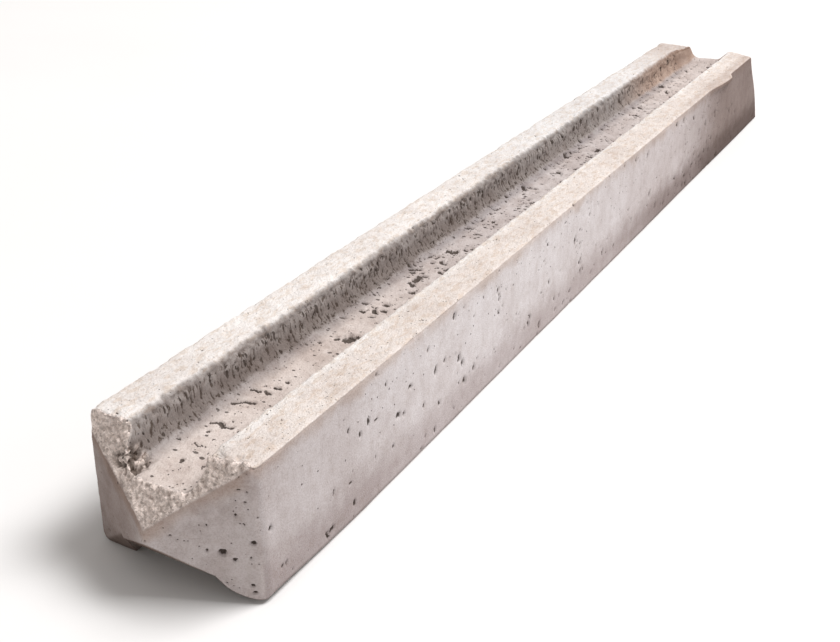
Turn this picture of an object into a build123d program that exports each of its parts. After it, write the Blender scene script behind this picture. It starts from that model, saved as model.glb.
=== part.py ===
"""Slotted precast concrete fence post, lying on its side with one board slot up.

Frame: X across the post, Y along it (weathered head at -Y, butt at +Y), Z up.
The origin is under the middle of the post, on the plane it lies on.  Millimetres.
"""
import math
import os

from build123d import *

# ---- driving dimensions: concrete -------------------------------------------------
LENGTH = 1180.0  # ridge of the head to the toe of the butt
HEIGHT = 100.0
TOP_WIDTH = 130.0
BASE_WIDTH = 135.0  # the mould side leans out by 2.5 mm on each side
BASE_CHAMFERS = {"left": 6.0, "right": 1.5}

UPPER_DEPTH = 25.0
UPPER_LIPS = {"left": -31.0, "right": 31.5}  # X of the two lips of the upper slot
UPPER_LIP_RADII = {"left": 8.0, "right": 1.5}
UPPER_FLOOR = {"left": -30.5, "right": 30.5}
UPPER_FLOOR_RADIUS = 14.0

LOWER_DEPTH = 20.0
LOWER_FLOOR = {"left": -35.0, "right": 38.0}
LOWER_FLOOR_RADIUS = 1.0
LOWER_LIPS = {"left": -35.5, "right": 50.0}  # the right flange is rounded off underneath
LOWER_LIP_RADII = {"left": 5.0, "right": 25.0}

RUN_OUT = 45.0  # over this stretch near the butt the upper slot gets narrower and shallower
BUTT_SLOT_DEPTH = 16.0
BUTT_SLOT_LIPS = {"left": -22.0, "right": 31.0}
BUTT_SLOT_LIP_RADII = {"left": 2.0, "right": 2.0}
BUTT_SLOT_FLOOR = {"left": -18.0, "right": 20.0}
BUTT_SLOT_RADIUS = 7.0

PITCH_RUN = 30.0  # how far the ridge of the head stands ahead of its shoulders
SHOULDER_RADII = {"left": 1.5, "right": 9.0}  # upright corners where the pitched faces end
RIDGE_TOP = 51.0  # the ridge is a short vertical edge between these two heights
RIDGE_FOOT = 41.0
HIP_SLOPE = 1.69  # rise of the hip for each millimetre back from the ridge
HIP_TILTS = {"left": 0.275, "right": 0.0}  # its left half also falls to the left
HIP_STEP = 32.0  # the hip stops this far behind the ridge and leaves an upright step
RAMP_SLOPE = 1.2  # fall of the lower slot's ramp for each millimetre back from the ridge
TOE_POINT = (-50.0, PITCH_RUN, 0.0)  # a point of the toe's face, measured from the ridge
TOE_FACING = (-0.21, -1.0, -0.469)
BUTT_RAKE = 48.0  # how far the toe of the butt stands beyond its top edge

# ---- driving dimensions: reinforcement --------------------------------------------
BAR_DIAMETER = 6.0
BAR_X = 50.0
BAR_COVER = 16.0  # upper and lower surface to the centre of a bar
HEAD_COVER = 20.0
WIRE_DIAMETER = 3.0
WIRE_GAP = 0.3  # film of cement between a wire and what it wraps
STATIONS = 6
STATION_PITCH = 190.0
TIE_HEIGHT = 48.0
TIE_TAIL = 12.0
CHAIR_RING = 11.0
CHAIR_LEG = 3.6
CHAIR_WIDTH = 8.0
CHAIR_COVERS = {"left": 1.0, "right": 6.5}  # the right flange is rounder underneath
CHAIR_STATIONS = {"head": -400.0, "butt": 400.0}

# ---- worked-out places ------------------------------------------------------------
HEAD_Y = -LENGTH / 2
SHOULDER_Y = HEAD_Y + PITCH_RUN
BUTT_Y = LENGTH / 2
RUN_OUT_END = BUTT_Y - BUTT_RAKE * (1 - BUTT_SLOT_DEPTH / HEIGHT)
RUN_OUT_START = RUN_OUT_END - RUN_OUT
WEB_TOP = HEIGHT - UPPER_DEPTH
WEB_BASE = LOWER_DEPTH
SIDES = {"left": -1, "right": 1}
BAR_LEVELS = {"lower": BAR_COVER, "upper": HEIGHT - BAR_COVER}
WRAP_RADIUS = (BAR_DIAMETER + WIRE_DIAMETER) / 2 + WIRE_GAP
INNER_LEG_X = BAR_X - WRAP_RADIUS
STATION_YS = [(i - (STATIONS - 1) / 2) * STATION_PITCH for i in range(STATIONS)]

os.makedirs("parts", exist_ok=True)


def save(node, name):
    """Label a finished piece and write it as its own STEP file."""
    node.part.label = name
    export_step(node.part, f"parts/{name}.step")


def butt_plane():
    """The raked plane that the butt end was struck off to."""
    return Plane(origin=(0, BUTT_Y, 0), z_dir=(0, HEIGHT, BUTT_RAKE))


# ---- longitudinal bars: one near each corner, cut flush at the butt ---------------
bars = {}
for level, bar_z in BAR_LEVELS.items():
    for side, sign in SIDES.items():
        with BuildPart() as bar:
            with BuildSketch(Plane.XZ.offset(-BUTT_Y)):
                with Locations((sign * BAR_X, bar_z)):
                    Circle(BAR_DIAMETER / 2)
            extrude(amount=LENGTH - PITCH_RUN - HEAD_COVER)
            split(bisect_by=butt_plane(), keep=Keep.BOTTOM)
        bars[f"bar_{level}_{side}"] = bar

# ---- flange links: a closed wire round the two bars of a flange --------------------
links = {}
for number, station_y in enumerate(STATION_YS, start=1):
    for side, sign in SIDES.items():
        with BuildPart() as link:
            with BuildLine(Plane.XZ.offset(-station_y)) as loop:
                Line(
                    (sign * BAR_X - WRAP_RADIUS, BAR_LEVELS["lower"]),
                    (sign * BAR_X - WRAP_RADIUS, BAR_LEVELS["upper"]),
                )
                CenterArc((sign * BAR_X, BAR_LEVELS["upper"]), WRAP_RADIUS, 180, -180)
                Line(
                    (sign * BAR_X + WRAP_RADIUS, BAR_LEVELS["upper"]),
                    (sign * BAR_X + WRAP_RADIUS, BAR_LEVELS["lower"]),
                )
                CenterArc((sign * BAR_X, BAR_LEVELS["lower"]), WRAP_RADIUS, 0, -180)
            with BuildSketch(Plane(loop.line @ 0, z_dir=loop.line % 0)):
                Circle(WIRE_DIAMETER / 2)
            sweep(path=loop.line)
        links[f"link_{side}_{number}"] = link

# ---- web ties: a wire through the web, hooked round the inner legs of the links ----
HOOK_RADIUS = WIRE_DIAMETER + WIRE_GAP
ties = {}
for number, station_y in enumerate(STATION_YS, start=1):
    with BuildPart() as tie:
        with BuildLine(Plane.XY.offset(TIE_HEIGHT)) as route:
            tail_x = INNER_LEG_X - TIE_TAIL
            Line((-tail_x, station_y - HOOK_RADIUS), (-INNER_LEG_X, station_y - HOOK_RADIUS))
            CenterArc((-INNER_LEG_X, station_y), HOOK_RADIUS, 270, -180)
            Line((-INNER_LEG_X, station_y + HOOK_RADIUS), (INNER_LEG_X, station_y + HOOK_RADIUS))
            CenterArc((INNER_LEG_X, station_y), HOOK_RADIUS, 90, -180)
            Line((INNER_LEG_X, station_y - HOOK_RADIUS), (tail_x, station_y - HOOK_RADIUS))
        with BuildSketch(Plane(route.line @ 0, z_dir=route.line % 0)):
            Circle(WIRE_DIAMETER / 2)
        sweep(path=route.line)
    ties[f"web_tie_{number}"] = tie

# ---- bar chairs: plastic clips that hold the lower bars off the mould --------------
chairs = {}
for place, chair_y in CHAIR_STATIONS.items():
    for side, sign in SIDES.items():
        with BuildPart() as chair:
            with BuildSketch(Plane.XZ.offset(-chair_y - CHAIR_WIDTH / 2)):
                with Locations((sign * BAR_X, BAR_COVER)):
                    Circle(CHAIR_RING / 2)
                with Locations((sign * BAR_X, CHAIR_COVERS[side])):
                    Rectangle(CHAIR_LEG, BAR_COVER - CHAIR_COVERS[side], align=(Align.CENTER, Align.MIN))
                with Locations((sign * (BAR_X + TOP_WIDTH / 2) / 2, BAR_COVER)):
                    Rectangle(TOP_WIDTH / 2 - BAR_X, CHAIR_LEG)
                with Locations((sign * BAR_X, BAR_COVER)):
                    Circle(BAR_DIAMETER / 2, mode=Mode.SUBTRACT)
            extrude(amount=CHAIR_WIDTH)
        chairs[f"chair_{place}_{side}"] = chair


def corner(sketch, x, z):
    """The section corner at one place."""
    return min(sketch.vertices(), key=lambda v: math.hypot(v.X - x, v.Y - z))


def section(y, slot_lips, slot_floor, slot_depth, lip_radii, floor_radius):
    """The post's section at one Y, for one shape of the upper slot."""
    with BuildSketch(Plane.XZ.offset(-y)) as outline:
        with BuildLine():
            Polyline(
                (slot_floor["right"], HEIGHT - slot_depth),
                (slot_lips["right"], HEIGHT),
                (TOP_WIDTH / 2, HEIGHT),
                (BASE_WIDTH / 2, 0),
                (LOWER_LIPS["right"], 0),
                (LOWER_FLOOR["right"], WEB_BASE),
                (LOWER_FLOOR["left"], WEB_BASE),
                (LOWER_LIPS["left"], 0),
                (-BASE_WIDTH / 2, 0),
                (-TOP_WIDTH / 2, HEIGHT),
                (slot_lips["left"], HEIGHT),
                (slot_floor["left"], HEIGHT - slot_depth),
                close=True,
            )
        make_face()
        for side, sign in SIDES.items():
            fillet(corner(outline, slot_floor[side], HEIGHT - slot_depth), floor_radius)
            fillet(corner(outline, slot_lips[side], HEIGHT), lip_radii[side])
            fillet(corner(outline, LOWER_FLOOR[side], WEB_BASE), LOWER_FLOOR_RADIUS)
            fillet(corner(outline, LOWER_LIPS[side], 0), LOWER_LIP_RADII[side])
            chamfer(corner(outline, sign * BASE_WIDTH / 2, 0), BASE_CHAMFERS[side])
    return outline.sketch


def main_section(y):
    """The section over most of the post."""
    return section(y, UPPER_LIPS, UPPER_FLOOR, UPPER_DEPTH, UPPER_LIP_RADII, UPPER_FLOOR_RADIUS)


def butt_section(y):
    """The section once the upper slot has run out to its butt shape."""
    return section(
        y, BUTT_SLOT_LIPS, BUTT_SLOT_FLOOR, BUTT_SLOT_DEPTH, BUTT_SLOT_LIP_RADII, BUTT_SLOT_RADIUS
    )


# ---- concrete: the section run from the head to the butt, then the two ends -----------
with BuildPart() as concrete_post:
    extrude(main_section(RUN_OUT_START), amount=RUN_OUT_START - HEAD_Y)

    # Head, in plan: two upright faces that meet at the ridge and turn softly into the long faces.
    for sign in SIDES.values():
        pitched_face = Plane(origin=(0, HEAD_Y, 0), z_dir=(sign * PITCH_RUN, -TOP_WIDTH / 2, 0))
        split(bisect_by=pitched_face, keep=Keep.BOTTOM)
    for side, sign in SIDES.items():
        upright = Vector(sign * (TOP_WIDTH + BASE_WIDTH) / 4, SHOULDER_Y, HEIGHT / 2)
        fillet(concrete_post.edges().sort_by_distance(upright)[0], SHOULDER_RADII[side])

    # Head, from the side: struck off along a two-part hip, as far as an upright step.
    for tilt in HIP_TILTS.values():
        hip = Plane(origin=(0, HEAD_Y, RIDGE_TOP), z_dir=(-tilt, -HIP_SLOPE, 1))
        with BuildPart(mode=Mode.PRIVATE) as struck_off:
            with Locations((0, HEAD_Y, 0)):
                Box(2 * BASE_WIDTH, 2 * HIP_STEP, 3 * HEIGHT)
            split(bisect_by=hip, keep=Keep.TOP)
        add(struck_off.part, mode=Mode.SUBTRACT)

    # The lower slot's floor climbs to the foot of the ridge.
    ramp_run = (RIDGE_FOOT - WEB_BASE) / RAMP_SLOPE
    with BuildSketch(Plane.YZ.offset(LOWER_FLOOR["left"])):
        with BuildLine():
            Polyline(
                (HEAD_Y - 1, 0),
                (HEAD_Y - 1, RIDGE_FOOT + RAMP_SLOPE),
                (HEAD_Y + ramp_run, WEB_BASE),
                (HEAD_Y + ramp_run, 0),
                close=True,
            )
        make_face()
    extrude(amount=LOWER_FLOOR["right"] - LOWER_FLOOR["left"], mode=Mode.SUBTRACT)

    # The left flange's end is cut back below, down to its toe.
    toe = Plane(origin=Vector(0, HEAD_Y, 0) + Vector(TOE_POINT), z_dir=TOE_FACING)
    split(bisect_by=toe, keep=Keep.BOTTOM)

    # Butt: the upper slot runs out, and the end is struck off to a rake.
    loft([main_section(RUN_OUT_START).face(), butt_section(RUN_OUT_END).face()], ruled=True)
    extrude(butt_section(BUTT_Y), amount=BUTT_Y - RUN_OUT_END)
    split(bisect_by=butt_plane(), keep=Keep.BOTTOM)

    # The steel and the chairs are cast in: the concrete stops at their surfaces.
    for inner in [*bars.values(), *links.values(), *ties.values(), *chairs.values()]:
        add(inner.part, mode=Mode.SUBTRACT)

save(concrete_post, "concrete_post")
for name, piece in {**bars, **links, **ties, **chairs}.items():
    save(piece, name)
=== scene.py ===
"""Looks of a slotted concrete fence post lying on its side.

The casting is rebuilt as one fine mesh: a section swept along the post, closed by a hipped head and
a raked butt, then worn, broken and pitted.  Shapes are worked out in millimetres and placed in metres.
"""
import math

import bpy
import numpy as np
from mathutils import Euler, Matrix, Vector
from mathutils.geometry import delaunay_2d_cdt
from mathutils.kdtree import KDTree


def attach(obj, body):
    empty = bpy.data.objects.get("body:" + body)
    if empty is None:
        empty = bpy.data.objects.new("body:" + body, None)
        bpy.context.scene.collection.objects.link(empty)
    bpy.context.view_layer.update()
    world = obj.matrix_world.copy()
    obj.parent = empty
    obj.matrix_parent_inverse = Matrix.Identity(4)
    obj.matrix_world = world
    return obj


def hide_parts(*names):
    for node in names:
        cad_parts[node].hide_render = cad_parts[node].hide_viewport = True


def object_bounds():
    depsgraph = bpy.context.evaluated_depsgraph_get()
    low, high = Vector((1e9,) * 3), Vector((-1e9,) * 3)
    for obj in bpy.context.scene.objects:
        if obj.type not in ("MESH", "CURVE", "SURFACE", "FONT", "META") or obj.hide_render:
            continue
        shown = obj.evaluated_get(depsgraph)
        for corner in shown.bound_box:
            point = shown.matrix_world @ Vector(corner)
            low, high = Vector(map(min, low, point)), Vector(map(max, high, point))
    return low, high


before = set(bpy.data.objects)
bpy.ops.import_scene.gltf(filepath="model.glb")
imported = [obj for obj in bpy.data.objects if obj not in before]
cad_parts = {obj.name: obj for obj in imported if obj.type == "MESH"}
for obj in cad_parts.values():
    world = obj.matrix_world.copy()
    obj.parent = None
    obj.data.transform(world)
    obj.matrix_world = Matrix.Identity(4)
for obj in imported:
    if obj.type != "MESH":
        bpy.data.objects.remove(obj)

cad_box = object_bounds()
MM = 0.001
LOW, HIGH = (np.array(corner) / MM for corner in cad_box)
random = np.random.default_rng(7)

# ---- the casting's own sizes, in millimetres ---------------------------------------
HEAD_Y, BUTT_Y = LOW[1], HIGH[1]
HEIGHT = HIGH[2]
TOP_HALF, BASE_HALF = 65.0, 67.5
SLOT_FLOOR, WEB_BASE = 75.0, 20.0
LEFT_LIP, RIGHT_LIP = -31.0, 31.5

# Corners of the section as (x, z, radius), anticlockwise seen from the head.
SIDES_AND_BASE = [
    (-TOP_HALF, HEIGHT, 2.2),
    (-67.4, 6.0, 2.0),
    (-61.5, 0.0, 1.5),
    (-35.5, 0.0, 5.0),
    (-35.0, WEB_BASE, 1.0),
    (38.0, WEB_BASE, 1.0),
    (50.0, 0.0, 25.0),
    (BASE_HALF, 0.0, 2.0),
    (TOP_HALF, HEIGHT, 2.2),
]
MAIN_SLOT = [
    (RIGHT_LIP, HEIGHT, 1.8),
    (30.5, SLOT_FLOOR, 14.0),
    (-30.5, SLOT_FLOOR, 14.0),
    (LEFT_LIP, HEIGHT, 8.0),
]
BUTT_SLOT = [(31.0, HEIGHT, 3.0), (18.0, 86.5, 8.0), (-17.0, 84.0, 9.0), (-22.0, HEIGHT, 2.5)]
RUN_OUT_START, RUN_OUT_END = BUTT_Y - 92, BUTT_Y - 42  # where the upper slot turns into its butt shape

PITCH = 30.0 / TOP_HALF  # fall back of each pitched face for each millimetre from the ridge
LEFT_CORNER, RIGHT_CORNER = 1.5, 9.0  # radii of the upright corners behind the pitched faces
RIDGE_TOP, RIDGE_FOOT = 51.0, 41.0
HIP_SLOPE = 1.69  # rise of the struck face for each millimetre back from the ridge
HIP_TILT, HIP_TILT_X = 0.345, -10.0  # left of this X the struck face also falls to the left
HIP_STEP = 31.5
RAMP_SLOPE = 1.2
BUTT_RAKE = 48.0
TOE_REACH, TOE_SLOPE, TOE_END_X = 30.0, 0.54, -36.0  # the toe's face: how far back, lean, right end
BUTT_CHIP = 13.0  # how deep the butt's upper right corner is broken off
FOOT_LIFT = 3.5  # how far the right flange's underside is raised near the head
LEDGE_REACH = 6.0  # how far a ledge of paste hangs out over the right face
LEDGE_GROWS, LEDGE_ENDS = (925.0, 1000.0), (1026.0, 1008.0)  # where it does, behind the ridge

BAR_X, BAR_ZS, BAR_RADIUS = 50.0, (16.0, 84.0), 3.0

FINE, COARSE = 1.0, 2.7  # mesh spacing along the post, at the head and at the butt


# ---- small numeric helpers ----------------------------------------------------------
def smooth(start, end, value):
    """0 at start, 1 at end, eased between; start may be the larger."""
    t = np.clip((value - start) / (end - start), 0, 1)
    return t * t * (3 - 2 * t)


def lattice_noise(points, cell, seed):
    """Smooth noise from -1 to 1, with features about one cell across."""
    scaled = points / cell
    base = np.floor(scaled).astype(np.int64)
    frac = scaled - base
    ease = frac * frac * (3 - 2 * frac)
    total = np.zeros(len(points))
    for corner in range(8):
        offset = np.array([corner & 1, (corner >> 1) & 1, (corner >> 2) & 1])
        weight = np.prod(np.where(offset, ease, 1 - ease), axis=1)
        total += weight * cell_value(base + offset, seed)
    return total


def cell_value(cells, seed):
    """A repeatable value from -1 to 1 for each whole-numbered lattice cell."""
    mixed = cells[:, 0] * 73856093 ^ cells[:, 1] * 19349663 ^ cells[:, 2] * 83492791 ^ seed * 7919
    mixed = mixed & 0xFFFFFFFF
    mixed = ((mixed ^ (mixed >> 13)) * 1274126177) & 0xFFFFFFFF
    return ((mixed ^ (mixed >> 16)) & 0xFFFF) / 32767.5 - 1


def layered_noise(points, cell, seed, layers=3):
    """Noise with each finer layer at half the size and half the strength."""
    total = np.zeros(len(points))
    for layer in range(layers):
        total += lattice_noise(points, cell / 2**layer, seed + layer) / 2**layer
    return total


def pebbles(points, cell, seed):
    """Rounded stones packed about one cell apart: 1 at a stone's crown, 0 between stones."""
    base = np.floor(points / cell).astype(np.int64)
    nearest = np.full(len(points), 9.0)
    for dx in (-1, 0, 1):
        for dy in (-1, 0, 1):
            for dz in (-1, 0, 1):
                cells = base + np.array([dx, dy, dz])
                jitter = np.stack([cell_value(cells, seed + axis) for axis in range(3)], axis=1)
                centre = (cells + 0.5 + 0.42 * jitter) * cell
                gap = np.linalg.norm(points - centre, axis=1) / (0.62 * cell)
                nearest = np.minimum(nearest, gap)
    return np.sqrt(np.clip(1 - nearest**2, 0, 1))


# ---- the section's outline ------------------------------------------------------------
def outline_points(corners, stations):
    """Points on a rounded outline: station i + f is f of the way from corner i's arc to the next."""
    arcs = [corner_arc(corners, i) for i in range(len(corners))]
    points = []
    for station in stations:
        i, part = int(station), 2 * (station % 1)
        if part < 1:
            points.append(arc_point(arcs[i], part))
        else:
            begin, end = arc_point(arcs[i], 1), arc_point(arcs[(i + 1) % len(corners)], 0)
            points.append(begin + (end - begin) * (part - 1))
    return np.array(points)


def corner_arc(corners, i):
    """Centre, starting arm and turning angle of the arc that rounds one corner."""
    x, z, radius = corners[i]
    here = np.array([x, z])
    back = np.array(corners[i - 1][:2]) - here
    on = np.array(corners[(i + 1) % len(corners)][:2]) - here
    back, on = back / np.linalg.norm(back), on / np.linalg.norm(on)
    half = math.acos(np.clip(back @ on, -1, 1)) / 2
    reach = radius / math.tan(half)
    centre = here + (back + on) / np.linalg.norm(back + on) * radius / math.sin(half)
    start, end = here + back * reach - centre, here + on * reach - centre
    return centre, start, math.atan2(start[0] * end[1] - start[1] * end[0], start @ end)


def arc_point(arc, part):
    """The point that lies part of the way round an arc."""
    centre, start, turn = arc
    c, s = math.cos(turn * part), math.sin(turn * part)
    return centre + [c * start[0] - s * start[1], s * start[0] + c * start[1]]


def outline_spacing(x, z):
    """Mesh spacing round the section: finest in and beside the upper slot, coarse underneath."""
    slot = (z > HEIGHT - 3) | ((np.abs(x) < RIGHT_LIP + 2) & (z > SLOT_FLOOR - 2))
    underneath = (z < 3) | ((np.abs(x) < 60) & (z < WEB_BASE + 1))
    return np.where(underneath, 2.6, np.where(slot, 1.15, 1.5))


def two_rings():
    """Matching rings of section points: over most of the post, and at the butt."""
    main, butt = MAIN_SLOT + SIDES_AND_BASE, BUTT_SLOT + SIDES_AND_BASE
    stations = np.arange(0, len(main), 0.01)
    line = outline_points(main, stations)
    steps = np.linalg.norm(np.diff(line, axis=0, append=line[:1]), axis=1)
    count = np.concatenate([[0], np.cumsum(steps / outline_spacing(line[:, 0], line[:, 1]))])
    wanted = np.linspace(0, count[-1], int(count[-1]) + 1)[:-1]
    chosen = np.interp(wanted, count, np.append(stations, len(main)))
    chosen = np.clip(chosen, 0, len(main) - 1e-6)
    return outline_points(main, chosen), outline_points(butt, chosen)


# ---- the two ends --------------------------------------------------------------------
def pitched_y(x, z):
    """The two pitched faces, each turning into its long face round an upright corner."""
    radius = np.where(x < 0, LEFT_CORNER, RIGHT_CORNER)
    half = TOP_HALF + (BASE_HALF - TOP_HALF) * (1 - z / HEIGHT)
    lean = math.hypot(1, PITCH)
    centre = PITCH * (half - radius) + radius * lean
    along = np.clip(np.abs(x) - (half - radius), 0, 0.995 * radius)
    arc = centre - np.sqrt(radius**2 - along**2)
    return np.where(along > radius * PITCH / lean, arc, np.abs(x) * PITCH)


def head_faces(x, z):
    """How far behind the ridge the struck face, the toe and the other cast faces lie."""
    ramp = (RIDGE_FOOT - np.maximum(z, WEB_BASE)) / RAMP_SLOPE
    toe = TOE_REACH - TOE_SLOPE * z - np.maximum(x - TOE_END_X, 0)
    struck = (z - RIDGE_TOP - HIP_TILT * np.minimum(x - HIP_TILT_X, 0)) / HIP_SLOPE
    return np.minimum(struck, HIP_STEP), toe, np.maximum(pitched_y(x, z), ramp)


def head_y(x, z):
    """The head's surface: its faces meet in edges worn to about a millimetre."""
    faces = head_faces(x, z)
    worn = 0.7
    top = np.maximum.reduce(faces)
    return HEAD_Y + top + worn * np.log(sum(np.exp((face - top) / worn) for face in faces))


def butt_y(x, z):
    """The butt's surface, raked so that its toe stands out, with its upper right corner gone."""
    from_corner = np.hypot(TOP_HALF - x, 0.45 * (HEIGHT - z))
    return BUTT_Y - BUTT_RAKE * z / HEIGHT - BUTT_CHIP * smooth(30, 2, from_corner)


def inside(points, ring):
    """True for each point within the closed ring."""
    x, z = points[:, :1], points[:, 1:]
    x0, z0 = ring[:, 0], ring[:, 1]
    x1, z1 = np.roll(x0, -1), np.roll(z0, -1)
    crosses = (z0 > z) != (z1 > z)
    rise = np.where(z1 == z0, 1, z1 - z0)
    return (crosses & (x < (x1 - x0) * (z - z0) / rise + x0)).sum(axis=1) % 2 == 1


def end_cap(ring, spacing):
    """Points inside the ring, and triangles over ring and points together."""
    xs = np.arange(ring[:, 0].min(), ring[:, 0].max(), spacing)
    zs = np.arange(ring[:, 1].min(), ring[:, 1].max(), spacing * 0.87)
    lattice = np.array([(x + spacing * (row % 2) / 2, z) for row, z in enumerate(zs) for x in xs])
    lattice += random.uniform(-0.12, 0.12, lattice.shape) * spacing
    lattice = lattice[inside(lattice, ring)]
    clear = np.array([np.min(np.abs(ring - point).sum(axis=1)) > 0.7 * spacing for point in lattice])
    lattice = lattice[clear]
    every = [Vector(point) for point in np.vstack([ring, lattice])]
    loop = list(range(len(ring)))
    out = delaunay_2d_cdt(every, [], [loop], 1, 1e-5)
    first = [source[0] for source in out[3]]
    return lattice, [[first[v] for v in face] for face in out[2]]


# ---- the undisturbed casting ----------------------------------------------------------
def rows_along():
    """Places along the post, from 0 at the head to 1 at the butt, closest together at the head."""
    rows = [0.0]
    while rows[-1] < 1:
        rows.append(rows[-1] + (FINE + (COARSE - FINE) * rows[-1]) / (BUTT_Y - HEAD_Y))
    return np.array(rows) / rows[-1]


def side_points(ring, butt_ring, rows):
    """The section's ring at every row, turning into the butt's ring where the slot runs out."""
    start, end = head_y(*ring.T), butt_y(*butt_ring.T)
    y = start + np.outer(rows, end - start)
    run_out = smooth(RUN_OUT_START, RUN_OUT_END, y)[..., None]
    placed_ring = ring + run_out * (butt_ring - ring)
    return np.stack([placed_ring[..., 0], y, placed_ring[..., 1]], axis=-1).reshape(-1, 3)


def side_quads(around, row_count):
    """The faces between each row of points and the next."""
    here = np.arange(around)
    following = (here + 1) % around
    quads = []
    for row in range(row_count - 1):
        low, high = row * around, (row + 1) * around
        quads.append(np.stack([low + here, high + here, high + following, low + following], axis=1))
    return np.concatenate(quads)


def numbered_cap(triangles, around, ring_base, point_base):
    """A cap's triangles, with the numbers that its ring and its own points have in the whole mesh."""
    index = np.array(triangles)
    return np.where(index < around, index + ring_base, index - around + point_base)


def build_casting():
    """The smooth casting: its vertices, the quads of its sides and the triangles of its ends."""
    ring, butt_ring = two_rings()
    around = len(ring)
    rows = rows_along()
    sides = side_points(ring, butt_ring, rows)
    head_points, head_triangles = end_cap(ring, 1.0)
    butt_points, butt_triangles = end_cap(butt_ring, 2.2)
    head_base = len(sides)
    butt_base = head_base + len(head_points)
    last_row = around * (len(rows) - 1)
    triangles = np.vstack([
        numbered_cap(head_triangles, around, 0, head_base),
        numbered_cap(butt_triangles, around, last_row, butt_base)[:, ::-1],
    ])
    head = np.stack([head_points[:, 0], head_y(*head_points.T), head_points[:, 1]], axis=1)
    butt = np.stack([butt_points[:, 0], butt_y(*butt_points.T), butt_points[:, 1]], axis=1)
    return np.vstack([sides, head, butt]), side_quads(around, len(rows)), triangles


def vertex_normals(points, quads, triangles):
    """Outward normals, averaged over the faces round each vertex."""
    normals = np.zeros_like(points)
    split = np.vstack([quads[:, [0, 1, 2]], quads[:, [0, 2, 3]], triangles])
    a, b, c = (points[split[:, k]] for k in range(3))
    face = np.cross(b - a, c - a)
    for k in range(3):
        np.add.at(normals, split[:, k], face)
    return normals / np.maximum(np.linalg.norm(normals, axis=1, keepdims=True), 1e-9)


# ---- where each kind of surface is ------------------------------------------------------
def head_zones(points, normals, wander):
    """Masks of the head: where it is broken, all faces that look along the post, and the band along the
    hip's edge, which is stained and also carries a painted shadow.
    """
    x, y, z = points.T
    struck, toe, cast = head_faces(x, z)
    behind = y - HEAD_Y - np.maximum.reduce([struck, toe, cast])
    on_struck = smooth(-0.4, 0.8, struck - np.maximum(toe, cast) + 0.3 * wander)
    end = smooth(0.35, 0.6, -normals[:, 1])
    return {
        "broken": on_struck * smooth(2.4, 0.4, behind + 1.1 * wander),
        "end": end,
        "hip_edge_stain_and_shadow": end * smooth(-8, -1, struck - cast + 2 * wander),
    }


def slot_zones(points, normals, wander, fingers):
    """Masks of the upper slot: its floor, its walls, and the part of the walls that is streaked."""
    x, y, z = points.T
    in_slot = (x > LEFT_LIP - 9) * (x < RIGHT_LIP + 1) * (z > SLOT_FLOOR - 3)
    in_slot = in_slot * smooth(0.6, 0.3, -normals[:, 1])
    facing_up = smooth(0.76, 0.985, normals[:, 2] + 0.05 * wander)
    floor = in_slot * facing_up * smooth(93, 90, z)
    left_rolls_over = smooth(LEFT_LIP - 8, LEFT_LIP - 1.5, x + 1.4 * fingers)
    clear_of_lip = np.where(x < 0, left_rolls_over, smooth(HEIGHT - 3, HEIGHT - 9, z))
    upright = smooth(0.02, 0.35, np.abs(normals[:, 0])) * clear_of_lip
    wall = in_slot * upright * (1 - floor)
    before_run_out = smooth(RUN_OUT_START + 25, RUN_OUT_START, y)
    streaked = wall * smooth(HEIGHT - 1, HEIGHT - 7, z) * before_run_out
    return {"floor": floor, "wall": wall, "streaked": streaked}


def surface_zones(points, normals):
    """Soft masks, 0 to 1, of the casting's kinds of surface."""
    x, _, z = points.T
    wander = layered_noise(points, 12, 31)
    fingers = 1.2 * layered_noise(points, 4, 37)
    zones = {**head_zones(points, normals, wander), **slot_zones(points, normals, wander, fingers)}
    zones["top"] = smooth(HEIGHT - 6.0, HEIGHT - 1.5, z + fingers) * smooth(0.3, 0.65, normals[:, 2])
    zones["side"] = smooth(0.7, 0.95, np.abs(normals[:, 0])) * (np.abs(x) > TOP_HALF - 3)
    zones["butt"] = smooth(0.5, 0.8, normals[:, 1])
    # Faces that look down, and the lower slot: the material paints shade on them.
    in_lower_slot = smooth(39, 37, np.abs(x)) * smooth(WEB_BASE + 1, WEB_BASE - 1, z)
    zones["under"] = np.maximum(smooth(0.15, 0.6, -normals[:, 2]), in_lower_slot)
    for name in ("floor", "wall", "streaked", "top", "end", "hip_edge_stain_and_shadow"):
        zones[name] = zones[name] * (1 - zones["broken"])
    return zones


# ---- wear, breakage and air holes ---------------------------------------------------------
def casting_relief(points, zones):
    """How far each vertex stands out from the smooth casting, before its air holes."""
    uneven = 0.30 * lattice_noise(points, 95, 1) + 0.12 * layered_noise(points, 24, 2)
    skin = uneven + floated_relief(points, zones) + lip_relief(points)
    return skin - chipped_edges(points) + torn_relief(points, zones)


def floated_relief(points, zones):
    """The upper faces were struck off and floated by hand, and the slot's walls are streaked."""
    relief = zones["top"] * (0.35 * lattice_noise(points, 22, 5) + 0.30 * layered_noise(points, 5, 6))
    relief += zones["floor"] * (0.55 * lattice_noise(points, 24, 8) + 0.38 * layered_noise(points, 6, 9))
    return relief + zones["streaked"] * 0.6 * layered_noise(points * [1, 1, 0.4], 4.5, 12)


def lip_relief(points):
    """The left lip of the slot is worn and crumbles in places; the right one is crisper."""
    x, _, z = points.T
    from_lip = np.hypot(x - np.where(x < 0, LEFT_LIP, RIGHT_LIP), z - HEIGHT)
    wear = np.where(x < 0, 0.9, 0.2) * (1 + 0.9 * lattice_noise(points, 34, 14))
    crumbs = np.where(x < 0, 1.3, 0.35) * layered_noise(points, 4.5, 15, 3)
    return crumbs * smooth(13, 3, from_lip) - wear * smooth(12, 1.5, from_lip)


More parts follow.
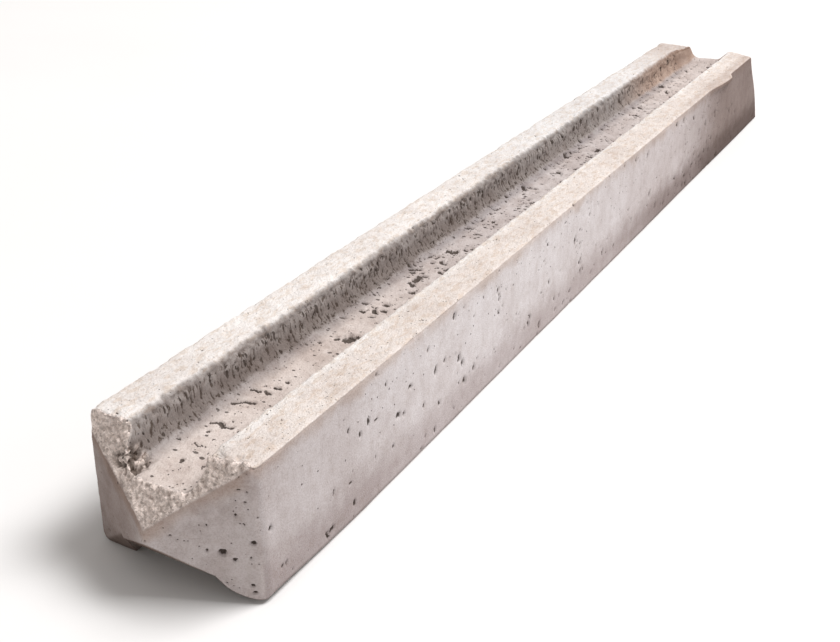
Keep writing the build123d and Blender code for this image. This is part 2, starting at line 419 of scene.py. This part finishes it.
def chipped_edges(points):
    """How much is gone from the outer upper edges, and from the edge where the head was struck off."""
    x, y, z = points.T
    from_side = TOP_HALF - np.abs(x)
    from_edge = np.hypot(from_side, z - HEIGHT)
    chips = smooth(0.25, 0.75, layered_noise(points, 17, 18)) * smooth(4.5, 0.8, from_edge)
    wear = smooth(3, 0.5, from_edge) * (1 + layered_noise(points, 4, 19, 2))
    from_step = np.hypot(y - HEAD_Y - HIP_STEP, z - HEIGHT)
    crumbled = smooth(-0.1, 0.7, layered_noise(points, 5, 39)) * smooth(8, 1.5, from_step)
    at_corner = 0.4 * smooth(6, 2, np.hypot(from_step, from_side))
    return 1.2 * chips + 0.35 * wear + 2.0 * np.maximum(crumbled, at_corner)


def torn_relief(points, zones):
    """The struck face of the head is torn: sand and small stones stand out of it."""
    x, y, _ = points.T
    torn = 1.5 * layered_noise(points, 10, 21) + 0.8 * layered_noise(points, 2.8, 22, 2)
    torn += 1.4 * pebbles(points, 3.8, 23) + 0.7 * pebbles(points, 2.1, 24) - 1.1
    from_shoulder = np.hypot(x + TOP_HALF, y - HEAD_Y - PITCH * TOP_HALF)
    return zones["broken"] * torn * smooth(1, 9, from_shoulder)


def paste_ledge(points):
    """How far a ledge of paste on the right upper edge, near the butt, hangs out to the right."""
    x, y, z = points.T
    behind = y - HEAD_Y
    along = smooth(*LEDGE_GROWS, behind) * smooth(*LEDGE_ENDS, behind)
    return LEDGE_REACH * along * smooth(TOP_HALF - 8, TOP_HALF - 2, x) * smooth(HEIGHT - 12, HEIGHT - 3, z)


def lifted_foot(points):
    """How far the underside of the right flange is raised near the head."""
    x, y, z = points.T
    near_head = smooth(140, 30, y - HEAD_Y)
    return FOOT_LIFT * near_head * smooth(28, 38, x) * smooth(WEB_BASE + 2, 0, z)


def broken_pocket(points):
    """The hollow in the left corner of the head: how far it reaches, its depth, and the gaps between its
    stones, which get painted shade.
    """
    centre = np.array([-29.0, HEAD_Y + 26.5, 77.5])
    away = np.linalg.norm((points - centre) / [1.2, 0.85, 0.7], axis=1)
    extent = smooth(14, 8, away + 2.5 * layered_noise(points, 5, 27))
    stones = pebbles(points, 4.4, 28)
    return extent, extent * (5.5 - 5.0 * stones), extent * smooth(0.75, 0.3, stones)


# Air holes listed one by one: x, distance behind the ridge, z, radius, stretch along x, y, z.
KNOWN_HOLES = [
    (0, 229, 75, 5.8, (1, 1.25, 1)),
    (-7, 225, 75, 2.8, (1.2, 1, 1)),
    (6, 234, 75, 2.6, (1.2, 1, 1)),
    (-28, 586, 75, 3.4, (1.0, 1.3, 1)),
    (-6, 344, 75, 4.4, (1.1, 1.4, 1)),
    (2, 321, 75, 2.8, (1.6, 1, 1)),
    (-4, 291, 75, 3.0, (1.5, 1, 1)),
    (-10, 77, 75, 1.7, (1, 1, 1)),
    (7, 87, 75, 1.6, (1, 1, 1)),
    (-5, 135, 75, 2.1, (1.6, 1, 1)),
    (-4, 144, 75, 1.9, (1.6, 1, 1)),
    (43, 20, 38, 2.9, (1.2, 1, 0.9)),
    (61, 28, 46, 2.0, (1.2, 1, 0.9)),
    (59, 27, 13, 1.8, (1, 1, 0.9)),
    (60, 28, 6, 2.2, (1, 1, 0.6)),
    (35, 16, 39, 1.3, (1, 1, 1)),
    (50, 23, 33, 1.5, (1, 1, 0.8)),
    (66, 39, 52, 2.2, (1, 1, 1)),
    (66, 52, 17, 2.0, (1, 1, 1.7)),
    (66, 283, 50, 2.6, (1, 1.1, 1.5)),
    (66, 288, 43, 2.4, (1, 1.1, 1.5)),
    (66, 208, 63, 2.0, (1, 1.3, 1)),
    (66, 151, 65, 1.9, (1, 1, 1.9)),
    (66, 164, 95, 1.8, (1, 1, 1.4)),
    (66, 235, 80, 1.7, (1, 1, 1.6)),
    (66, 127, 71, 1.6, (1, 1, 1.7)),
]

# Winding grooves in the slot's floor: x and distance behind the ridge of each bend, and radius.
FLOOR_GROOVES = [
    ([(-15, 86), (-10, 90), (-5, 86), (1, 88)], 1.9),
    ([(-18, 113), (-12, 118), (-5, 120)], 2.0),
    ([(-17, 133), (-10, 134)], 1.7),
    ([(-9, 62), (-4, 60), (0, 63)], 0.9),
]

# Scattered air holes: zone, side, how many, smallest and largest radius, most beads in a row,
# and how strongly the beads of one hole follow x, y and z.
SCATTERED_HOLES = [
    ("floor", 0, 520, 0.7, 2.9, 4, (1.0, 0.7, 0)),
    ("streaked", -1, 380, 0.8, 1.5, 6, (0.1, 0.2, 1.0)),
    ("streaked", 1, 300, 0.8, 1.5, 6, (0.1, 0.2, 1.0)),
    ("top", 0, 70, 0.6, 1.1, 3, (1.0, 0.5, 0)),
    ("side", 1, 240, 0.9, 2.5, 3, (0, 0.3, 1.0)),
    ("side", -1, 240, 0.9, 2.5, 3, (0, 0.3, 1.0)),
    ("end", 0, 64, 0.5, 1.2, 2, (1.0, 0, 1.0)),
    ("under", 0, 110, 1.0, 2.2, 2, (1.0, 1.0, 0)),
    ("butt", 0, 16, 1.0, 2.2, 2, (1.0, 0, 1.0)),
]


def placed_holes():
    """The known holes and the floor grooves, as round or stretched beads."""
    beads = [(x, HEAD_Y + behind, z, radius, stretch) for x, behind, z, radius, stretch in KNOWN_HOLES]
    for bends, radius in FLOOR_GROOVES:
        for (x0, y0), (x1, y1) in zip(bends, bends[1:]):
            for part in np.arange(0, 1, radius * 0.8 / math.hypot(x1 - x0, y1 - y0)):
                x, behind = x0 + (x1 - x0) * part, y0 + (y1 - y0) * part
                beads.append((x, HEAD_Y + behind, SLOT_FLOOR, radius * random.uniform(0.8, 1.1), (1, 1, 1)))
    return beads


def hole_chance(points, zone, mask):
    """How likely each vertex of a zone is to be the start of an air hole."""
    _, y, z = points.T
    spread = FINE + (COARSE - FINE) * (y - HEAD_Y) / (BUTT_Y - HEAD_Y)
    if zone == "end":
        return mask * spread
    patchy = 1 + 0.9 * layered_noise(points, 60, 35, 2)
    chance = mask * spread * np.clip(patchy, 0.1, None) * smooth(20, 130, y - HEAD_Y)
    if zone == "side":
        return chance * (1.7 - z / HEIGHT)
    if zone == "floor":
        return chance * (0.6 + smooth(100, 700, y - HEAD_Y))
    return chance


def winding_hole(start, radius, longest, follow):
    """The beads of one hole: a short row that winds away from its start."""
    beads = []
    place = start.copy()
    step = random.normal(size=3) * follow
    for _ in range(random.integers(1, longest + 1)):
        beads.append((*place, radius * random.uniform(0.75, 1.1), (1, 1, 1)))
        step = step + 0.5 * random.normal(size=3) * follow
        place += step / max(np.linalg.norm(step), 0.1) * radius * 0.95
    return beads


def scattered_holes(points, zones):
    """Random air holes of every zone, as beads."""
    beads = []
    for zone, side, count, small, large, longest, follow in SCATTERED_HOLES:
        mask = zones[zone] > 0.6
        if side:
            mask &= points[:, 0] * side > 0
        chance = hole_chance(points, zone, mask)
        for i in random.choice(len(points), count, p=chance / chance.sum(), replace=False):
            radius = small + (large - small) * random.random() ** 2.2
            if zone == "floor":
                radius *= 0.6 + 0.4 * smooth(100, 350, points[i, 1] - HEAD_Y)
            beads += winding_hole(points[i], radius, longest, follow)
    return beads


def air_holes(points, holes):
    """How deep each vertex is sunk by air holes, and how far inside a hole it is, 0 to 1."""
    tree = KDTree(len(points))
    for i, point in enumerate(points):
        tree.insert(point, i)
    tree.balance()
    depth = np.zeros(len(points))
    hollow = np.zeros(len(points))
    ragged = 0.22 * layered_noise(points, 2.4, 41, 2)
    for x, y, z, radius, stretch in holes:
        reach = radius * max(stretch) * 1.5
        near = np.array([found[1] for found in tree.find_range((x, y, z), reach)], dtype=int)
        if len(near) == 0:
            continue
        gap = np.linalg.norm((points[near] - [x, y, z]) / stretch, axis=1) / radius + ragged[near]
        bowl = np.sqrt(np.clip(1 - gap**2, 0, 1))
        depth[near] = np.maximum(depth[near], min(radius * 1.1, 5.0) * bowl)
        hollow[near] = np.maximum(hollow[near], smooth(1.15, 0.55, gap))
    return depth, hollow


def bar_recess(points):
    """A slight ring of paste pulled back round each bar end on the butt."""
    depth = np.zeros(len(points))
    for bar_x in (-BAR_X, BAR_X):
        for bar_z in BAR_ZS:
            gap = np.hypot(points[:, 0] - bar_x, points[:, 2] - bar_z)
            depth += 1.6 * smooth(BAR_RADIUS + 1.6, BAR_RADIUS + 0.4, gap)
    return depth


def make_casting():
    """The finished concrete mesh, with the masks its material reads."""
    points, quads, triangles = build_casting()
    normals = vertex_normals(points, quads, triangles)
    zones = surface_zones(points, normals)
    relief = casting_relief(points, zones)
    pocket, pocket_depth, painted_gap_shade = broken_pocket(points)
    holes = placed_holes() + scattered_holes(points, zones)
    depth, hollow = air_holes(points, holes)
    recess = bar_recess(points) * zones["butt"]
    moved = points + normals * (relief - pocket_depth - depth - recess)[:, None]
    moved[:, 0] += paste_ledge(points)
    moved[:, 2] = np.maximum(moved[:, 2], 0) + lifted_foot(points)

    mesh = bpy.data.meshes.new("concrete_post")
    faces = quads.tolist() + triangles.tolist()
    mesh.from_pydata((moved * MM).tolist(), [], faces)
    mesh.shade_smooth()
    masks = dict(zones, hollow=hollow, painted_gap_shade=painted_gap_shade)
    masks["broken"] = np.maximum(zones["broken"], pocket)
    for name, values in masks.items():
        layer = mesh.attributes.new(name, "FLOAT", "POINT")
        layer.data.foreach_set("value", values.astype(np.float32))
    piece = bpy.data.objects.new("concrete_casting", mesh)
    bpy.context.scene.collection.objects.link(piece)
    return piece


# ---- materials ------------------------------------------------------------------------------
class Graph:
    """A short way to write a node material: each method adds a node and returns its output."""

    def __init__(self, name):
        self.material = bpy.data.materials.new(name)
        self.material.use_nodes = True
        self.tree = self.material.node_tree
        self.shader = self.tree.nodes["Principled BSDF"]
        place = self.add("ShaderNodeTexCoord").outputs["Object"]
        self.place = self.vector_math("SCALE", place, scale=1 / MM)

    def add(self, kind, **settings):
        node = self.tree.nodes.new(kind)
        for key, value in settings.items():
            setattr(node, key, value)
        return node

    def feed(self, socket, value):
        if isinstance(value, bpy.types.NodeSocket):
            self.tree.links.new(value, socket)
        else:
            socket.default_value = value

    def vector_math(self, operation, a, b=None, scale=None):
        node = self.add("ShaderNodeVectorMath", operation=operation)
        self.feed(node.inputs[0], a)
        if b is not None:
            self.feed(node.inputs[1], b)
        if scale is not None:
            self.feed(node.inputs["Scale"], scale)
        return node.outputs[0]

    def math(self, operation, a, b=0.0):
        node = self.add("ShaderNodeMath", operation=operation)
        self.feed(node.inputs[0], a)
        self.feed(node.inputs[1], b)
        return node.outputs[0]

    def smooth(self, value, start, end, low=0.0, high=1.0):
        node = self.add("ShaderNodeMapRange", interpolation_type="SMOOTHSTEP")
        for socket, setting in zip(node.inputs, (value, start, end, low, high)):
            self.feed(socket, setting)
        return node.outputs[0]

    def mix(self, factor, a, b, blend="MIX"):
        node = self.add("ShaderNodeMix", data_type="RGBA", blend_type=blend)
        self.feed(node.inputs[0], factor)
        self.feed(node.inputs[6], a if isinstance(a, bpy.types.NodeSocket) else (*a, 1))
        self.feed(node.inputs[7], b if isinstance(b, bpy.types.NodeSocket) else (*b, 1))
        return node.outputs[2]

    def noise(self, size, detail=3.0, stretch=None, roughness=0.55):
        """Noise from 0 to 1, with features about size millimetres across."""
        vector = self.vector_math("DIVIDE", self.place, stretch) if stretch else self.place
        node = self.add("ShaderNodeTexNoise")
        self.feed(node.inputs["Vector"], vector)
        node.inputs["Scale"].default_value = 1 / size
        node.inputs["Detail"].default_value = detail
        node.inputs["Roughness"].default_value = roughness
        return node.outputs[0]

    def cells(self, size, vector=None, stretch=None):
        """Distance to the nearest random point, in millimetres, and that point's random value."""
        vector = vector or self.place
        if stretch:
            vector = self.vector_math("DIVIDE", vector, stretch)
        node = self.add("ShaderNodeTexVoronoi")
        self.feed(node.inputs["Vector"], vector)
        node.inputs["Scale"].default_value = 1 / size
        chance = self.add("ShaderNodeSeparateColor")
        self.feed(chance.inputs[0], node.outputs["Color"])
        return self.math("MULTIPLY", node.outputs["Distance"], size), chance.outputs[0]

    def pits(self, size, largest, share, vector, stretch=None):
        """A mask of round pits: share of the cells have one, up to largest in radius."""
        gap, chance = self.cells(size, vector, stretch)
        radius = self.smooth(chance, self.math("SUBTRACT", 1.0, share), 1.0, 0.0, largest)
        return self.smooth(self.math("SUBTRACT", radius, gap), 0.0, 0.22)

    def wander(self, size, reach):
        """The place, pushed about at random by up to reach millimetres."""
        node = self.add("ShaderNodeTexNoise")
        self.feed(node.inputs["Vector"], self.place)
        node.inputs["Scale"].default_value = 1 / size
        node.inputs["Detail"].default_value = 2
        push = self.vector_math("SUBTRACT", node.outputs["Color"], (0.5, 0.5, 0.5))
        return self.vector_math("ADD", self.place, self.vector_math("SCALE", push, scale=2 * reach))

    def shade(self, colour, amount, tint):
        """Colour multiplied by a named tint, as far as amount says."""
        return self.mix(amount, colour, TINTS[tint], "MULTIPLY")

    def shade_all(self, colour, mask, shares):
        """Colour with several tints, each for its own share of the masked surface."""
        for tint, share in shares.items():
            colour = self.shade(colour, self.math("MULTIPLY", mask, share), tint)
        return colour

    def mask(self, name):
        node = self.add("ShaderNodeAttribute", attribute_name=name)
        return node.outputs["Fac"]

    def axis(self, index):
        node = self.add("ShaderNodeSeparateXYZ")
        self.feed(node.inputs[0], self.place)
        return node.outputs[index]

    def bump(self, height, distance, before=None):
        """Bump with height in units of distance, in millimetres."""
        node = self.add("ShaderNodeBump")
        node.inputs["Distance"].default_value = distance * MM
        self.feed(node.inputs["Height"], height)
        if before is not None:
            self.feed(node.inputs["Normal"], before)
        return node.outputs[0]

    def finish(self, colour, roughness, normal=None):
        self.feed(self.shader.inputs["Base Color"], colour)
        self.feed(self.shader.inputs["Roughness"], roughness)
        if normal is not None:
            self.feed(self.shader.inputs["Normal"], normal)
        return self.material


MOULD_GREY = (0.670, 0.637, 0.645)
FLOATED_CREAM = (0.950, 0.925, 0.910)
SLOT_CREAM = (0.770, 0.690, 0.650)
WALL_GREY = (0.240, 0.208, 0.194)
DUSTY_GREY = (0.365, 0.332, 0.318)
PALE_WALL = (0.52, 0.50, 0.49)
BROWN_WALL = (0.46, 0.35, 0.29)
SAND = (0.950, 0.850, 0.805)
DARK_GRAIN, PALE_GRAIN = (0.66, 0.64, 0.62), (1.18, 1.16, 1.14)  # shades that multiply the sand
STONE_BROWN = (0.42, 0.36, 0.32)
# painted shade inside air holes
HOLE_SHADE_BROWN = (0.056, 0.040, 0.031)
BAR_STEEL, WIRE_STEEL = (0.30, 0.27, 0.25), (0.40, 0.37, 0.35)
DARK_RUST, BRIGHT_RUST = (0.16, 0.055, 0.022), (0.42, 0.17, 0.065)
BLACK_PLASTIC, CEMENT_DUST = (0.030, 0.030, 0.033), (0.20, 0.19, 0.18)

# What dulls or stains the casting's skin, and painted shade in corners, gaps, pores, low down, by the head
# and underneath: each tint multiplies the colour under it.
TINTS = {
    "middle_of_floor": (0.85, 0.87, 0.91),
    "painted_corner_shade": (0.48, 0.48, 0.50),
    "hand_blotch": (0.80, 0.76, 0.74),
    "thumb_blotch": (0.80, 0.77, 0.76),
    "fingertip_blotch": (0.76, 0.71, 0.67),
    "drag_mark": (0.86, 0.78, 0.70),
    "right_top": (0.915, 0.875, 0.85),
    "far_left_top": (0.93, 0.95, 0.97),
    "butt_left_top": (0.82, 0.75, 0.71),
    "butt_right_edge": (0.82, 0.78, 0.76),
    "run": (0.78, 0.74, 0.72),
    "upper_edge": (0.74, 0.63, 0.54),
    "painted_ground_shade": (0.68, 0.63, 0.62),
    "far_foot": (0.58, 0.54, 0.52),
    "near_head": (0.72, 0.69, 0.68),
    "far_half": (0.84, 0.81, 0.80),
    "darker_towards_butt": (0.45, 0.39, 0.36),
    "head": (0.86, 0.82, 0.80),
    "painted_shade_left_of_head": (0.64, 0.59, 0.56),
    "hip_edge_stain_and_shadow": (0.86, 0.77, 0.70),
    "underside": (0.40, 0.34, 0.30),
    "speckle": (0.72, 0.67, 0.64),
    "streak": (0.31, 0.26, 0.22),
    "painted_pore_shade": (0.36, 0.30, 0.26),
    "torn_patch": (0.60, 0.55, 0.50),
    "gap": (0.21, 0.19, 0.175),
}

# The casting's masks that its material reads.
MASKS = (
    "top", "floor", "wall", "streaked", "side", "end", "hip_edge_stain_and_shadow", "under", "broken", "painted_gap_shade", "hollow",
)


def skin_colour(g, masks):
    """The skin of the casting before its air holes."""
    colour = kinds_of_surface(g, masks)
    colour = blotched(g, masks, colour)
    colour = floated_faces(g, masks, colour)
    colour = mould_faces(g, masks, colour)
    return head_and_underside(g, masks, colour)


def kinds_of_surface(g, masks):
    """One colour for each kind of surface."""
    across, along, up = (g.axis(index) for index in range(3))
    colour = g.mix(masks["top"], MOULD_GREY, FLOATED_CREAM)
    colour = g.mix(masks["floor"], colour, SLOT_CREAM)
    middle = g.math("MULTIPLY", g.smooth(along, -400.0, -120.0), g.smooth(along, 450.0, 150.0, 0.5, 1.0))
    colour = g.shade(colour, g.math("MULTIPLY", masks["floor"], middle), "middle_of_floor")
    # Painted shade on the floor where it curves up into the left wall.
    corner_shade = g.math("MULTIPLY", masks["floor"], g.smooth(across, -10.0, -26.0))
    colour = g.shade(colour, corner_shade, "painted_corner_shade")
    wall = g.mix(g.smooth(up, 83.0, 92.0), WALL_GREY, DUSTY_GREY)
    wall = g.mix(g.smooth(along, -150.0, 180.0, 0.0, 0.27), wall, PALE_WALL)
    wall = g.mix(g.smooth(along, 260.0, 430.0), wall, BROWN_WALL)
    return g.mix(masks["wall"], colour, wall)


def blotched(g, masks, colour):
    """Soft blotches, at the size of a hand, of a thumb and of a fingertip."""
    colour = g.shade(colour, g.smooth(g.noise(60, 4), 0.35, 0.7, 0.0, 0.5), "hand_blotch")
    even = g.math("MULTIPLY", g.math("MAXIMUM", masks["top"], masks["side"]), 0.5)
    cloud = g.smooth(g.noise(17, 4, roughness=0.6), 0.42, 0.62)
    cloud = g.math("MULTIPLY", cloud, g.math("SUBTRACT", 0.75, even))
    colour = g.shade(colour, cloud, "thumb_blotch")
    return g.shade(colour, g.smooth(g.noise(8, 5, roughness=0.65), 0.45, 0.75, 0.0, 0.4), "fingertip_blotch")


def floated_faces(g, masks, colour):
    """Drag marks along the post, a browner right flange, and both flanges browner at the butt."""
    across, along = g.axis(0), g.axis(1)
    drag = g.noise(5, 5, stretch=(1.0, 2.6, 1.0), roughness=0.7)
    left = g.smooth(across, 5.0, -5.0)
    far_left = g.math("MULTIPLY", left, g.smooth(along, -150.0, 150.0))
    butt_left = g.math("MULTIPLY", left, g.smooth(ragged_along(g), 430.0, 640.0))
    butt_right = g.math("MULTIPLY", g.smooth(along, 200.0, 330.0), g.smooth(across, 50.0, 60.0))
    shares = {
        "drag_mark": g.smooth(drag, 0.46, 0.62, 0.0, 0.7),
        "right_top": g.smooth(across, 33.0, 44.0),
        "far_left_top": far_left,
        "butt_left_top": butt_left,
        "butt_right_edge": butt_right,
    }
    return g.shade_all(colour, masks["top"], shares)


def mould_faces(g, masks, colour):
    """Runs, a brown upper edge, painted shade low down, a greyer stretch of painted shade by the head, and
    darker, browner faces towards the butt.
    """
    along = g.axis(1)
    runs = g.noise(6, 4, stretch=(1.0, 1.0, 6.0))
    ragged_up = g.math("ADD", g.axis(2), g.math("MULTIPLY", g.noise(22, 4), 30.0))
    # Painted shade towards the ground, low on the long faces; darker still towards the butt.
    painted_ground_shade = g.smooth(ragged_up, 60.0, 28.0, 0.0, 0.8)
    far = ragged_along(g)
    shares = {
        "run": g.smooth(runs, 0.46, 0.7, 0.0, 0.25),
        "upper_edge": g.smooth(ragged_up, HEIGHT + 2, HEIGHT + 16, 0.0, 0.65),
        "painted_ground_shade": painted_ground_shade,
        "far_foot": g.math("MULTIPLY", painted_ground_shade, g.smooth(along, -20.0, 220.0)),
        # Painted shade on the long faces near the head.
        "near_head": g.smooth(along, -330.0, -540.0, 0.0, 0.8),
        "far_half": g.smooth(far, -60.0, 330.0),
        # The long faces turn darker and browner towards the butt.
        "darker_towards_butt": g.smooth(far, 290.0, 510.0),
    }
    return g.shade_all(colour, masks["side"], shares)


def head_and_underside(g, masks, colour):
    """The faces of the head are greyer, with painted shade on the left one, a stain and painted shadow along
    the hip's edge, and painted shade underneath.
    """
    left = g.smooth(g.axis(0), 5.0, -20.0)
    colour = g.shade(colour, g.math("MULTIPLY", masks["end"], 0.9), "head")
    # Painted shade on the head's left faces.
    colour = g.shade(colour, g.math("MULTIPLY", masks["end"], left), "painted_shade_left_of_head")
    # One tint paints the stain along the hip's edge and the shadow beside it.
    colour = g.shade(colour, masks["hip_edge_stain_and_shadow"], "hip_edge_stain_and_shadow")
    # Painted shade on faces that look down and in the lower slot.
    return g.shade(colour, masks["under"], "underside")


def ragged_along(g):
    """The place along the post, pushed about so that what it bounds has a ragged edge."""
    return g.math("ADD", g.axis(1), g.math("MULTIPLY", g.noise(80, 3), 180.0))


def torn_colour(g, painted_gap_shade):
    """Broken concrete: grains of sand, each its own shade, a few small stones, and painted shade in its
    pores and between its stones.
    """
    _, grain_shade = g.cells(1.2)
    stone_gap, stone_shade = g.cells(4.5)
    grain = g.mix(grain_shade, DARK_GRAIN, PALE_GRAIN)
    torn = g.mix(1.0, SAND, grain, "MULTIPLY")
    stones = g.math("MULTIPLY", g.smooth(stone_gap, 1.8, 1.2), g.smooth(stone_shade, 0.6, 0.75))
    torn = g.mix(g.math("MULTIPLY", stones, 0.4), torn, STONE_BROWN)
    pores = g.pits(3.2, 0.8, 0.4, g.wander(2.0, 0.6))
    # Painted shade in the pores.
    torn = g.shade(torn, g.math("MULTIPLY", pores, 0.6), "painted_pore_shade")
    torn = g.shade(torn, g.smooth(g.noise(3, 4), 0.5, 0.72, 0.0, 0.45), "torn_patch")
    # Painted shade in the gaps between stones.
    return g.shade(torn, painted_gap_shade, "gap")


def small_air_holes(g, masks):
    """Air holes too small for the mesh: a mask, 1 inside them."""
    bent = g.wander(2.2, 0.55)
    upright = (1.0, 1.0, 2.8)
    everywhere = g.math("MAXIMUM", g.pits(6.0, 0.85, 0.32, bent), g.pits(2.8, 0.40, 0.12, bent))
    on_floor = g.math("MAXIMUM", g.pits(4.4, 1.4, 0.5, bent, (1.5, 1.0, 1.0)), g.pits(2.8, 0.75, 0.5, bent))
    on_wall = g.math("MAXIMUM", g.pits(2.6, 0.8, 0.35, bent, upright), g.pits(4.4, 1.5, 0.5, bent, upright))
    on_top = g.math("MULTIPLY", g.pits(2.2, 0.5, 0.6, bent, (1.6, 1.0, 1.0)), 0.8)
    found = g.math("MULTIPLY", everywhere, g.math("SUBTRACT", 1.0, masks["top"]))
    for pits, zone in ((on_floor, "floor"), (on_wall, "streaked"), (on_top, "top")):
        found = g.math("MAXIMUM", found, g.math("MULTIPLY", pits, masks[zone]))
    return found


def fine_relief(g, masks, small, streaks):
    """Relief too fine for the mesh: sand, drag marks, streaks and the smallest air holes."""
    sand = g.math("MULTIPLY", g.noise(1.1, 4, roughness=0.7), g.smooth(masks["broken"], 0.0, 1.0, 0.5, 1.1))
    drag = g.noise(1.4, 4, stretch=(1.0, 2.0, 1.0), roughness=0.7)
    floated = g.math("MAXIMUM", masks["top"], g.math("MULTIPLY", masks["floor"], 0.8))
    drag = g.math("MULTIPLY", drag, g.math("MULTIPLY", floated, 1.4))
    streaks = g.math("MULTIPLY", streaks, g.math("MULTIPLY", masks["streaked"], -1.6))
    height = g.math("ADD", g.math("ADD", sand, drag), streaks)
    return g.bump(g.math("SUBTRACT", 1.0, small), 0.9, g.bump(height, 1.0))


def concrete_material():
    """Skin, or broken concrete where the casting is broken, with specks, streaks and air holes."""
    g = Graph("cast_concrete")
    masks = {name: g.mask(name) for name in MASKS}
    colour = g.mix(masks["broken"], skin_colour(g, masks), torn_colour(g, masks["painted_gap_shade"]))

    # Fine sand shows everywhere as faint specks, and the walls of the slot are streaked.
    speckle = g.smooth(g.noise(1.2, 3, roughness=0.75), 0.42, 0.66, 0.0, 0.55)
    colour = g.shade(colour, speckle, "speckle")
    streaks = g.noise(2.8, 4, stretch=(1.0, 1.0, 3.6), roughness=0.6)
    strength = g.smooth(g.axis(1), 0.0, 250.0, 0.9, 0.45)
    streak_share = g.math("MULTIPLY", masks["streaked"], g.smooth(streaks, 0.535, 0.615, 0.0, strength))
    colour = g.shade(colour, streak_share, "streak")

    # Air holes get painted shade inside, a dark brown, with ragged rims.
    small = small_air_holes(g, masks)
    ragged = g.math("MULTIPLY", g.math("SUBTRACT", g.noise(1.6, 3), 0.5), 0.7)
    deep = g.smooth(g.math("ADD", masks["hollow"], ragged), 0.35, 0.75)
    colour = g.mix(g.math("MULTIPLY", small, 0.82), colour, HOLE_SHADE_BROWN)
    colour = g.mix(g.math("MULTIPLY", deep, 0.90), colour, HOLE_SHADE_BROWN)

    g.shader.inputs["Specular IOR Level"].default_value = 0.25
    roughness = g.smooth(g.noise(8, 5), 0.2, 0.8, 0.84, 0.97)
    return g.finish(colour, roughness, fine_relief(g, masks, small, streaks))


def rusty_steel(name, steel, rust_share):
    g = Graph(name)
    rust_map = g.noise(4, 5, roughness=0.7)
    rust = g.smooth(rust_map, 0.62 - rust_share, 0.72 - rust_share / 2)
    shade = g.noise(0.8, 3)
    rust_colour = g.mix(shade, DARK_RUST, BRIGHT_RUST)
    colour = g.mix(rust, steel, rust_colour)
    g.feed(g.shader.inputs["Metallic"], g.smooth(rust, 0.0, 1.0, 0.85, 0.05))
    normal = g.bump(g.math("ADD", shade, g.math("MULTIPLY", rust, 0.6)), 0.25)
    return g.finish(colour, g.smooth(rust, 0.0, 1.0, 0.42, 0.9), normal)


def moulded_plastic():
    g = Graph("chair_plastic")
    dust = g.noise(6, 4)
    colour = g.mix(g.smooth(dust, 0.4, 0.75, 0.0, 0.5), BLACK_PLASTIC, CEMENT_DUST)
    normal = g.bump(g.noise(0.4, 2), 0.05)
    return g.finish(colour, g.smooth(dust, 0.3, 0.8, 0.45, 0.8), normal)


def pale_floor_material():
    g = Graph("pale_floor")
    cloud = g.noise(400, 2)
    colour = g.mix(cloud, (0.80, 0.80, 0.80), (0.84, 0.84, 0.84))
    return g.finish(colour, 0.9)


def dress_cast_in_parts():
    """Bars, wires and chairs keep their CAD shape and get their own materials."""
    materials = {
        "bar_": rusty_steel("bar_steel", BAR_STEEL, 0.22),
        "link_": rusty_steel("wire_steel", WIRE_STEEL, 0.10),
        "chair_": moulded_plastic(),
    }
    materials["web_tie_"] = materials["link_"]
    for name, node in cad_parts.items():
        for prefix, material in materials.items():
            if name.startswith(prefix):
                node.data.materials.clear()
                node.data.materials.append(material)


# ---- studio -----------------------------------------------------------------------------------
def make_floor():
    bpy.ops.mesh.primitive_plane_add(size=40)
    floor = bpy.context.object
    floor.name = "studio_floor"
    floor.data.materials.append(pale_floor_material())


def add_area_light(name, azimuth, elevation, distance, size, power, colour):
    """A soft light that faces the post from the given direction."""
    a, e = math.radians(azimuth), math.radians(elevation)
    back = Vector((math.sin(a) * math.cos(e), -math.cos(a) * math.cos(e), math.sin(e)))
    data = bpy.data.lights.new(name, "AREA")
    data.size, data.energy, data.color = size, power, colour
    light = bpy.data.objects.new(name, data)
    light.location = back * distance
    light.rotation_euler = (-back).to_track_quat("-Z", "Y").to_euler()
    bpy.context.scene.collection.objects.link(light)


def make_lights():
    world = bpy.data.worlds.new("studio")
    world.use_nodes = True
    background = world.node_tree.nodes["Background"]
    background.inputs["Color"].default_value = (1.0, 0.95, 0.91, 1)
    background.inputs["Strength"].default_value = 0.42
    bpy.context.scene.world = world
    add_area_light("key", 130, 60, 12.0, 5.4, 1560, (1.0, 0.985, 0.98))
    add_area_light("side_fill", 80, 25, 4.0, 2.5, 12, (0.92, 0.95, 1.0))


def make_camera():
    """A camera at the viewing angle of the picture, aimed near the middle of the post."""
    azimuth, elevation, roll = (math.radians(angle) for angle in (29.2, 24.67, -0.34))
    target, distance = Vector((-0.0436, -0.1736, 0.05)), 1.0386
    back = Vector((
        math.sin(azimuth) * math.cos(elevation),
        -math.cos(azimuth) * math.cos(elevation),
        math.sin(elevation),
    ))
    data = bpy.data.cameras.new("camera")
    data.sensor_width = 36
    data.lens = 49.35
    data.shift_y = -0.066
    data.clip_start, data.clip_end = 0.05, 60
    camera = bpy.data.objects.new("camera", data)
    camera.location = target + back * distance
    turn = (-back).to_track_quat("-Z", "Y").to_matrix() @ Euler((0, 0, -roll)).to_matrix()
    camera.rotation_euler = turn.to_euler()
    bpy.context.scene.collection.objects.link(camera)
    bpy.context.scene.camera = camera


casting = make_casting()
casting.data.materials.append(concrete_material())
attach(casting, "root")
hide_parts("concrete_post")
dress_cast_in_parts()
make_floor()
make_lights()
make_camera()
bpy.context.scene.view_settings.view_transform = "Standard"
